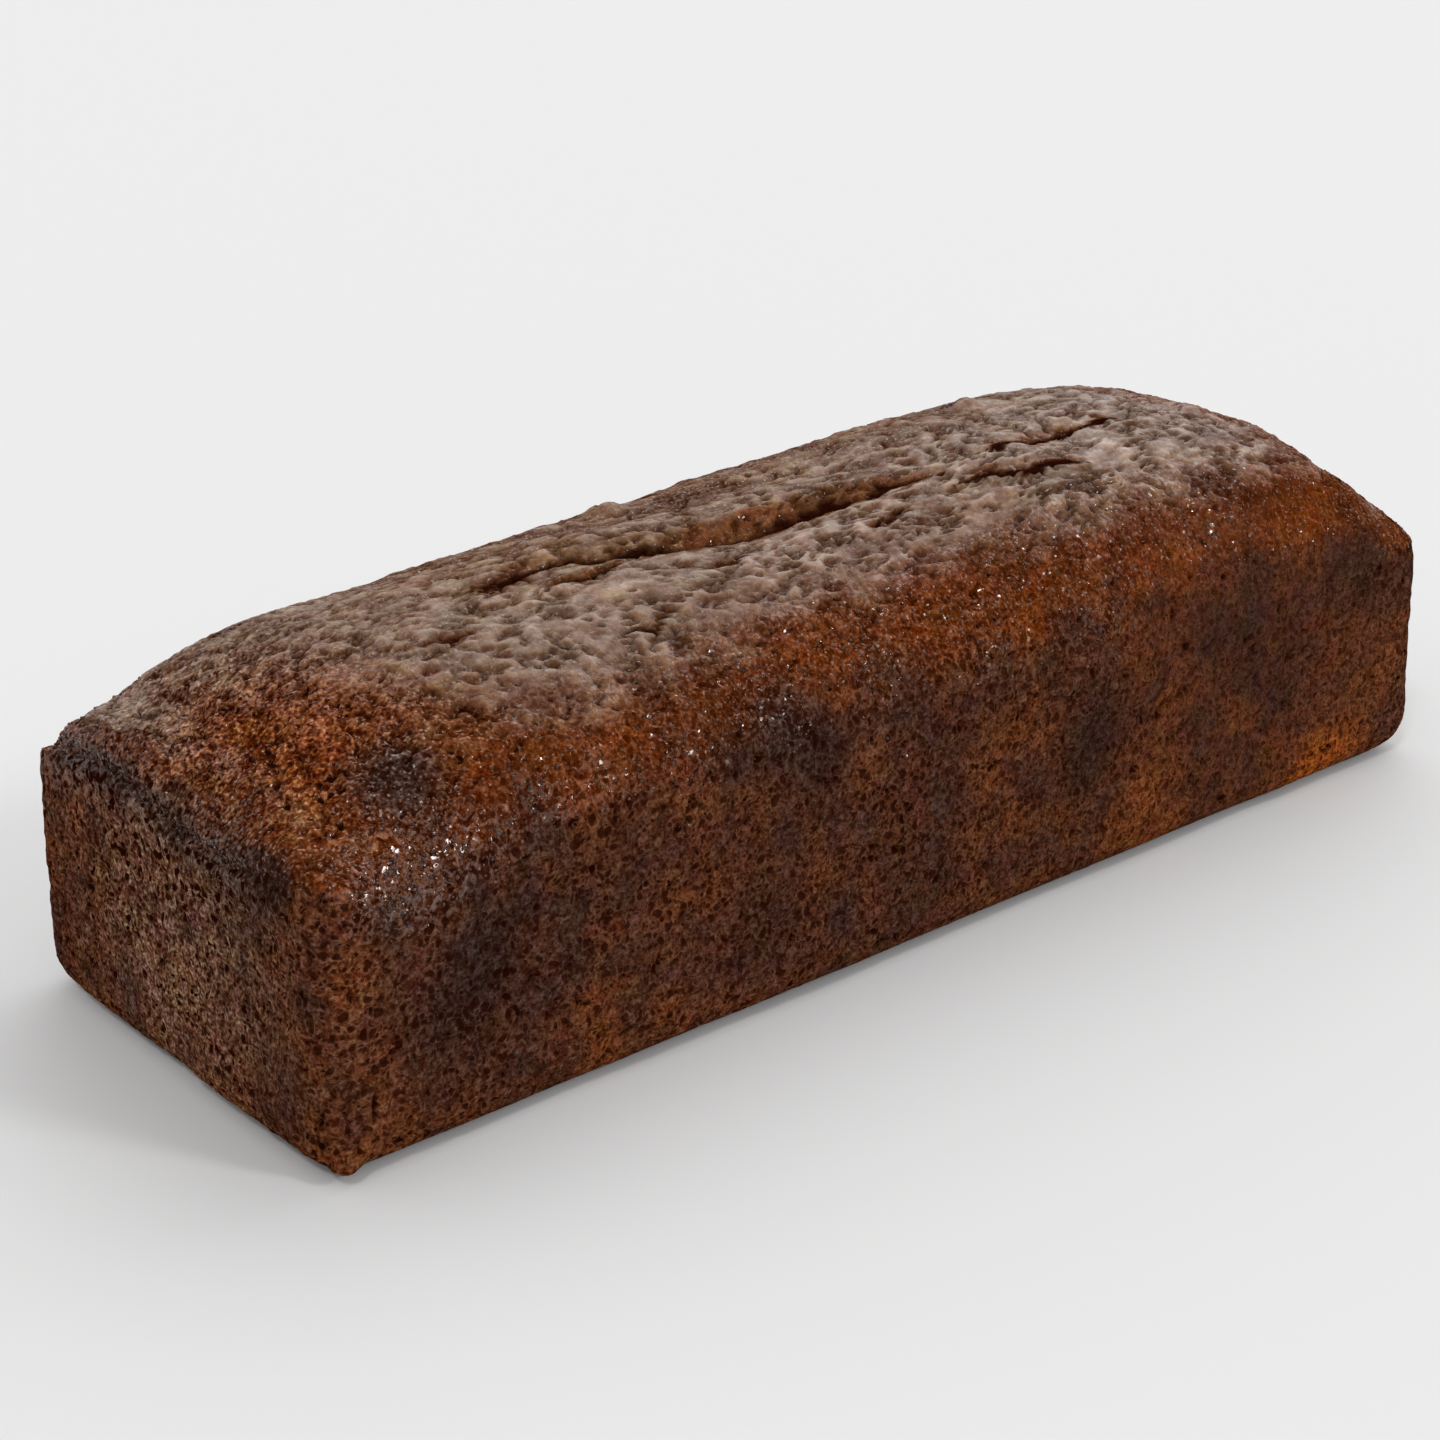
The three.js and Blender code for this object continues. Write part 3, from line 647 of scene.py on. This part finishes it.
    # On the top, painted light and shade: puffed skin lighter, its folds darker, and the crumb lighter where
    # it stands out
    puffShade = add(tree, "ShaderNodeMapRange", {},
               {"Value": puff, "From Max": 0.8, "To Min": 0.7, "To Max": 1.2})
    skinCrumbShade = add(tree, "ShaderNodeMapRange", {},
               {"Value": crumb, "From Min": 0.36, "From Max": 0.64, "To Min": 0.75, "To Max": 1.25})
    puffShade = add(tree, "ShaderNodeMath", {"operation": "MULTIPLY"}, {0: puffShade, 1: skinCrumbShade})
    skinShare = add(tree, "ShaderNodeMath", {"operation": "SUBTRACT", "use_clamp": True},
                    {0: onTop, 1: roughMark})
    shade = add(tree, "ShaderNodeMix", {}, {"Factor": skinShare, 2: shade, 3: puffShade})
    green = add(tree, "ShaderNodeMath", {"operation": "POWER"}, {0: shade, 1: 1.45})
    blue = add(tree, "ShaderNodeMath", {"operation": "POWER"}, {0: shade, 1: 1.8})
    shade = add(tree, "ShaderNodeCombineXYZ", {}, {0: shade, 1: green, 2: blue})
    tone = add(tree, "ShaderNodeVectorMath", {"operation": "MULTIPLY"}, {0: tone, 1: shade})
    # Painted shade in the pores, the top's creases and pits, and along the foot, all in one dark colour
    poreShadeShare = add(tree, "ShaderNodeMath", {"operation": "MULTIPLY_ADD"}, {0: roughMark, 1: 0.35, 2: 0.85})
    poreShadeShare = add(tree, "ShaderNodeMix", {}, {"Factor": skinShare, 2: poreShadeShare, 3: 0.12})
    poreShadeShare = add(tree, "ShaderNodeMath", {"operation": "MULTIPLY"}, {0: pores, 1: poreShadeShare})
    uneven = add(tree, "ShaderNodeMapRange", smooth,
                 {"Value": mottle, "From Min": 0.34, "From Max": 0.54, "To Min": 0.6})
    poreShadeShare = add(tree, "ShaderNodeMath", {"operation": "MULTIPLY"}, {0: poreShadeShare, 1: uneven})
    dark = add(tree, "ShaderNodeMath", {"operation": "MULTIPLY_ADD"}, {0: hollow, 1: 0.7, 2: poreShadeShare})
    dark = add(tree, "ShaderNodeMath", {"operation": "MAXIMUM", "use_clamp": True}, {0: dark, 1: baseEdgeShade})
    tone = add(tree, "ShaderNodeMix", mixed, {0: dark, 6: tone, 7: colour["hollowShade"]}, 2)
    # Painted shade at the foot of the splits
    tone = add(tree, "ShaderNodeMix", mixed, {0: slit, 6: tone, 7: colour["slit"]}, 2)

    # Crumb and grains stand out, in mm, less so in the top's skin
    relief = add(tree, "ShaderNodeMath", {"operation": "MULTIPLY"}, {0: grain, 1: 0.3})
    relief = add(tree, "ShaderNodeMath", {"operation": "MULTIPLY_ADD"}, {0: crumb, 1: 1.4, 2: relief})
    relief = add(tree, "ShaderNodeMath", {"operation": "MULTIPLY_ADD"}, {0: pores, 1: -0.35, 2: relief})
    level = add(tree, "ShaderNodeMapRange", smooth,
                {"Value": slope, "From Min": 0.7, "From Max": 0.9, "To Min": 1.0, "To Max": 0.6})
    relief = add(tree, "ShaderNodeMath", {"operation": "MULTIPLY"}, {0: relief, 1: level})
    bump = add(tree, "ShaderNodeBump", {}, {"Strength": 1.0, "Distance": 1 * mm, "Height": relief})

    # Glaze: a skin over the top, single grains of the shoulder, and what stands out in the marked places
    shiny = add(tree, "ShaderNodeMath", {"operation": "MULTIPLY_ADD"}, {0: roughMark, 1: 0.04, 2: grain})
    shiny = add(tree, "ShaderNodeMapRange", smooth, {"Value": shiny, "From Min": 0.67, "From Max": 0.72})
    shiny = add(tree, "ShaderNodeMath", {"operation": "MULTIPLY"}, {0: shiny, 1: onShoulder})
    cluster = add(tree, "ShaderNodeMapRange", smooth, {"Value": crumb, "From Min": 0.5, "From Max": 0.55})
    cluster = add(tree, "ShaderNodeMath", {"operation": "MULTIPLY"}, {0: cluster, 1: glint})
    shiny = add(tree, "ShaderNodeMath", {"operation": "MAXIMUM"}, {0: shiny, 1: cluster})
    shiny = add(tree, "ShaderNodeMath", {"operation": "SUBTRACT"}, {0: shiny, 1: slit})
    shiny = add(tree, "ShaderNodeMath", {"operation": "SUBTRACT", "use_clamp": True}, {0: shiny, 1: pores})
    level = add(tree, "ShaderNodeMapRange", smooth,
                {"Value": slope, "From Min": 0.8, "From Max": 0.95, "To Min": 0.8, "To Max": 0.08})
    steady = add(tree, "ShaderNodeMapRange", smooth,
                 {"Value": glint, "From Min": 0.4, "From Max": 1.6, "To Min": 1.0, "To Max": 0.5})
    level = add(tree, "ShaderNodeMath", {"operation": "MULTIPLY"}, {0: level, 1: steady})
    facets = add(tree, "ShaderNodeTexVoronoi", {},
                 {"Vector": place, "Scale": 1 / (looks["facetSize"] * mm)}, "Color")
    facets = add(tree, "ShaderNodeVectorMath", {"operation": "SUBTRACT"}, {0: facets, 1: (0.5, 0.5, 0.5)})
    facets = add(tree, "ShaderNodeVectorMath", {"operation": "SCALE"}, {0: facets, "Scale": level})
    normal = add(tree, "ShaderNodeNewGeometry", out="Normal")
    facets = add(tree, "ShaderNodeVectorMath", {"operation": "ADD"}, {0: facets, 1: normal})
    facets = add(tree, "ShaderNodeVectorMath", {"operation": "NORMALIZE"}, {0: facets})
    glazed = add(tree, "ShaderNodeMath", {"operation": "MULTIPLY_ADD"}, {0: mottle, 1: 0.3, 2: slope})
    glazed = add(tree, "ShaderNodeMapRange", smooth, {"Value": glazed, "From Min": 0.82, "From Max": 1.12})
    gloss = add(tree, "ShaderNodeMath", {"operation": "ADD", "use_clamp": True}, {0: glazed, 1: glossMark})
    gloss = add(tree, "ShaderNodeMath", {"operation": "MULTIPLY_ADD"}, {0: hollow, 1: -0.7, 2: gloss})
    gloss = add(tree, "ShaderNodeMath", {"operation": "SUBTRACT"}, {0: gloss, 1: torn})
    gloss = add(tree, "ShaderNodeMath", {"operation": "SUBTRACT", "use_clamp": True}, {0: gloss, 1: slit})
    proud = add(tree, "ShaderNodeMapRange", {},
                {"Value": puff, "From Min": 0.1, "From Max": 0.6, "To Min": 0.5})
    pitted = add(tree, "ShaderNodeMapRange", smooth, {"Value": crumb, "From Min": 0.4, "From Max": 0.54})
    pitted = add(tree, "ShaderNodeMath", {"operation": "SUBTRACT", "use_clamp": True},
                 {0: pitted, 1: pores})
    proud = add(tree, "ShaderNodeMix", {}, {"Factor": skinShare, 2: pitted, 3: proud})
    gloss = add(tree, "ShaderNodeMath", {"operation": "MULTIPLY"}, {0: gloss, 1: proud})
    patchy = add(tree, "ShaderNodeMapRange", smooth,
                 {"Value": mottle, "From Min": 0.36, "From Max": 0.54, "To Min": 0.7})
    gloss = add(tree, "ShaderNodeMath", {"operation": "MULTIPLY"}, {0: gloss, 1: patchy})
    gloss = add(tree, "ShaderNodeMath", {"operation": "MAXIMUM"}, {0: gloss, 1: shiny})
    dullness = add(tree, "ShaderNodeMapRange", {}, {"Value": onTop, "To Min": 0.75, "To Max": 0.5})
    tree.links.new(tone, shader.inputs["Base Color"])
    tree.links.new(dullness, shader.inputs["Roughness"])
    tree.links.new(gloss, shader.inputs["Coat Weight"])
    tree.links.new(bump, shader.inputs["Normal"])
    tree.links.new(facets, shader.inputs["Coat Normal"])
    shader.inputs["Specular IOR Level"].default_value = 0.0
    shader.inputs["Coat Roughness"].default_value = 0.16
    shader.inputs["Coat IOR"].default_value = 1.6
    return material


def makeLoaf():
    loaf = loafForm()
    guides = {"Split Guide": splitGuide(), "Rim Guide": rimGuide()}
    relief = loafValues["relief"].items()
    inputs = {name: size * mm if isinstance(size, float) else size for name, size in relief}
    inputs.update(guides)
    inputs["Crust"] = crustMaterial()
    grow(loaf, crustTree(inputs), inputs)
    for guide in guides.values():
        bpy.data.objects.remove(guide)
    raiseKnobs(loaf.data)
    paintMarks(loaf.data)
    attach(loaf, "root")
    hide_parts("loaf")
    return loaf


# Glazed grains on the shoulders. Sizes in mm, Crowding in grains to a square mm
grainValues = {
    "Smallest": 0.22,
    "Largest": 0.5,
    "Sunk": 0.1,
    "Crowding": 0.6,
    "Seed": 7,
    "clumpSize": 12,
    "dark": "#2c150b",
    "light": "#6e3c17",
}


def grainTree(inputs):
    tree, value = newTree("grainScatter", inputs)
    place = add(tree, "GeometryNodeInputPosition")
    slope = add(tree, "GeometryNodeInputNamedAttribute", {}, {"Name": "slope"})
    glint = add(tree, "GeometryNodeInputNamedAttribute", {}, {"Name": "glint"})
    band = add(tree, "ShaderNodeMapRange", smooth, {"Value": slope, "From Min": 0.15, "From Max": 0.45})
    below = add(tree, "ShaderNodeMapRange", smooth,
                {"Value": slope, "From Min": 0.7, "From Max": 0.9, "To Min": 1.0, "To Max": 0.0})
    band = add(tree, "ShaderNodeMath", {"operation": "MULTIPLY"}, {0: band, 1: below})
    clumpScale = 1 / (grainValues["clumpSize"] * mm)
    clumps = add(tree, "ShaderNodeTexNoise", {}, {"Vector": place, "Scale": clumpScale, "Detail": 2.0})
    clumps = add(tree, "ShaderNodeMapRange", smooth,
                 {"Value": clumps, "From Min": 0.42, "From Max": 0.7, "To Min": 0.02, "To Max": 0.6})
    crowd = add(tree, "ShaderNodeMath", {"operation": "MULTIPLY_ADD"}, {0: band, 1: clumps, 2: glint})
    crowd = add(tree, "ShaderNodeMath", {"operation": "MULTIPLY"}, {0: crowd, 1: value["Crowding"]})
    points = add(tree, "GeometryNodeDistributePointsOnFaces", {},
                 {"Mesh": value["Geometry"], "Density": crowd, "Seed": value["Seed"]})
    normal = points.node.outputs["Normal"]
    sink = add(tree, "ShaderNodeVectorMath", {"operation": "SCALE"}, {0: normal, "Scale": value["Sunk"]})
    sink = add(tree, "ShaderNodeVectorMath", {"operation": "MULTIPLY"}, {0: sink, 1: (-1.0, -1.0, -1.0)})
    points = add(tree, "GeometryNodeSetPosition", {}, {"Geometry": points, "Offset": sink})
    grain = add(tree, "GeometryNodeMeshIcoSphere", {}, {"Radius": 1.0, "Subdivisions": 1})
    turn = add(tree, "FunctionNodeRandomValue", {"data_type": "FLOAT_VECTOR"},
               {0: (0.0, 0.0, 0.0), 1: (6.28, 6.28, 6.28), "Seed": 2})
    size = add(tree, "FunctionNodeRandomValue", {},
               {2: value["Smallest"], 3: value["Largest"], "Seed": 3}, 1)
    tone = add(tree, "FunctionNodeRandomValue", {}, {2: 0.0, 3: 1.0, "Seed": 4}, 1)
    grains = add(tree, "GeometryNodeInstanceOnPoints", {},
                 {"Points": points, "Instance": grain, "Rotation": turn, "Scale": size})
    grains = add(tree, "GeometryNodeStoreNamedAttribute", {"domain": "INSTANCE"},
                 {"Geometry": grains, "Name": "tone", "Value": tone})
    grains = add(tree, "GeometryNodeRealizeInstances", {}, {"Geometry": grains})
    grains = add(tree, "GeometryNodeSetMaterial", {}, {"Geometry": grains, "Material": value["Glaze"]})
    add(tree, "NodeGroupOutput", {}, {"Geometry": grains})
    return tree


def makeGrains(loaf):
    # Grain with a sugar glaze: brown like the crust, with facets that flash white in the lamp's light
    material = bpy.data.materials.new("glazedGrain")
    material.use_nodes = True
    tree = material.node_tree
    shader = tree.nodes["Principled BSDF"]
    tone = add(tree, "ShaderNodeAttribute", {"attribute_name": "tone"}, out="Fac")
    tone = add(tree, "ShaderNodeMix", mixed,
               {0: tone, 6: linear(grainValues["dark"]), 7: linear(grainValues["light"])}, 2)
    tree.links.new(tone, shader.inputs["Base Color"])
    shader.inputs["Roughness"].default_value = 0.2
    shader.inputs["Specular IOR Level"].default_value = 0.5

    grains = newPiece("crustGrains", loaf.data.copy())
    grains.data.materials.clear()
    sizes = {name: grainValues[name] * mm for name in ("Smallest", "Largest", "Sunk")}
    crowding = grainValues["Crowding"] / mm ** 2
    inputs = {**sizes, "Crowding": crowding, "Seed": grainValues["Seed"], "Glaze": material}
    grow(grains, grainTree(inputs), inputs)
    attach(grains, "root")


# Floor, light and camera
stageValues = {
    "floorSize": 12.0,
    "floorColour": "#e0e0e0",
    "roomLight": 0.62,
    "backFrom": (0.3, 0.95, 0.0),
    "backLight": 0.25,
    "boxFrom": (0.6, 0.35, 0.7),
    "boxLight": 1.15,
    "keyFrom": (-0.5, -0.3, 0.81),
    "keyPower": 0.55,
    "keySpread": 10,
    "sideFrom": (0.4, -0.75, 0.53),
    "sidePower": 0.8,
    "sideSpread": 11,
}


def makeFloor():
    half = stageValues["floorSize"] / 2
    mesh = bpy.data.meshes.new("floor")
    corners = [(-half, -half, 0), (half, -half, 0), (half, half, 0), (-half, half, 0)]
    mesh.from_pydata(corners, [], [(0, 1, 2, 3)])
    material = bpy.data.materials.new("mattWhiteBoard")  # even and pale, with no sheen
    material.use_nodes = True
    shader = material.node_tree.nodes["Principled BSDF"]
    shader.inputs["Base Color"].default_value = linear(stageValues["floorColour"])
    shader.inputs["Roughness"].default_value = 0.9
    shader.inputs["Specular IOR Level"].default_value = 0.1
    mesh.materials.append(material)
    newPiece("floor", mesh)


def makeLight():
    # A dim room with a pale wall low behind the loaf and a broad soft box over it, and two lamps
    scene = bpy.context.scene
    scene.world = bpy.data.worlds.new("studio")
    scene.world.use_nodes = True
    tree = scene.world.node_tree
    way = add(tree, "ShaderNodeTexCoord", out="Generated")
    facing = add(tree, "ShaderNodeVectorMath", {"operation": "DOT_PRODUCT"},
                 {0: way, 1: stageValues["backFrom"]}, "Value")
    behind = add(tree, "ShaderNodeMapRange", smooth, {"Value": facing, "From Min": -0.1, "From Max": 0.8})
    up = add(tree, "ShaderNodeSeparateXYZ", {}, {0: way}, "Z")
    low = add(tree, "ShaderNodeMapRange", smooth,
              {"Value": up, "From Min": 0.6, "From Max": 0.95, "To Min": 1.0, "To Max": 0.0})
    wall = add(tree, "ShaderNodeMath", {"operation": "MULTIPLY"}, {0: behind, 1: low})
    boxWay = Vector(stageValues["boxFrom"]).normalized()
    box = add(tree, "ShaderNodeVectorMath", {"operation": "DOT_PRODUCT"}, {0: way, 1: boxWay}, "Value")
    box = add(tree, "ShaderNodeMapRange", smooth,
              {"Value": box, "From Min": 0.8, "From Max": 0.95, "To Max": stageValues["boxLight"]})
    sky = add(tree, "ShaderNodeMath", {"operation": "MULTIPLY_ADD"},
              {0: wall, 1: stageValues["backLight"], 2: box})
    sky = add(tree, "ShaderNodeMath", {"operation": "ADD"}, {0: sky, 1: stageValues["roomLight"]})
    tree.links.new(sky, tree.nodes["Background"].inputs["Strength"])
    tree.nodes["Background"].inputs["Color"].default_value = (1.0, 1.0, 1.0, 1.0)
    for name in ("key", "side"):
        lamp = bpy.data.lights.new(name + "Lamp", "SUN")
        lamp.energy = stageValues[name + "Power"]
        lamp.angle = math.radians(stageValues[name + "Spread"])
        holder = bpy.data.objects.new(name + "Lamp", lamp)
        holder.rotation_euler = Vector(stageValues[name + "From"]).to_track_quat("Z", "Y").to_euler()
        scene.collection.objects.link(holder)
    scene.view_settings.view_transform = "Standard"


# The camera, fitted to the loaf's outline. Its eye is given in mm along its own right, up and back
cameraValues = {
    "azimuth": -40.26,
    "elevation": 22.89,
    "eye": (-14.71, 28.88, 607.33),
    "lens": 70,
    "sensor": 36,
}


def makeCamera():
    azimuth = math.radians(cameraValues["azimuth"])
    elevation = math.radians(cameraValues["elevation"])
    right = Vector((math.cos(azimuth), math.sin(azimuth), 0))
    back = Vector((math.sin(azimuth) * math.cos(elevation), -math.cos(azimuth) * math.cos(elevation),
                   math.sin(elevation)))
    turn = Matrix((right, back.cross(right), back)).transposed()
    lens = bpy.data.cameras.new("camera")
    lens.lens = cameraValues["lens"]
    lens.sensor_width = cameraValues["sensor"]
    camera = bpy.data.objects.new("camera", lens)
    camera.matrix_world = Matrix.Translation(turn @ Vector(cameraValues["eye"]) * mm) @ turn.to_4x4()
    bpy.context.scene.collection.objects.link(camera)
    bpy.context.scene.camera = camera


makeCamera()
makeFloor()
makeLight()
print("stage ready")
makeGrains(makeLoaf())
print("loaf ready")
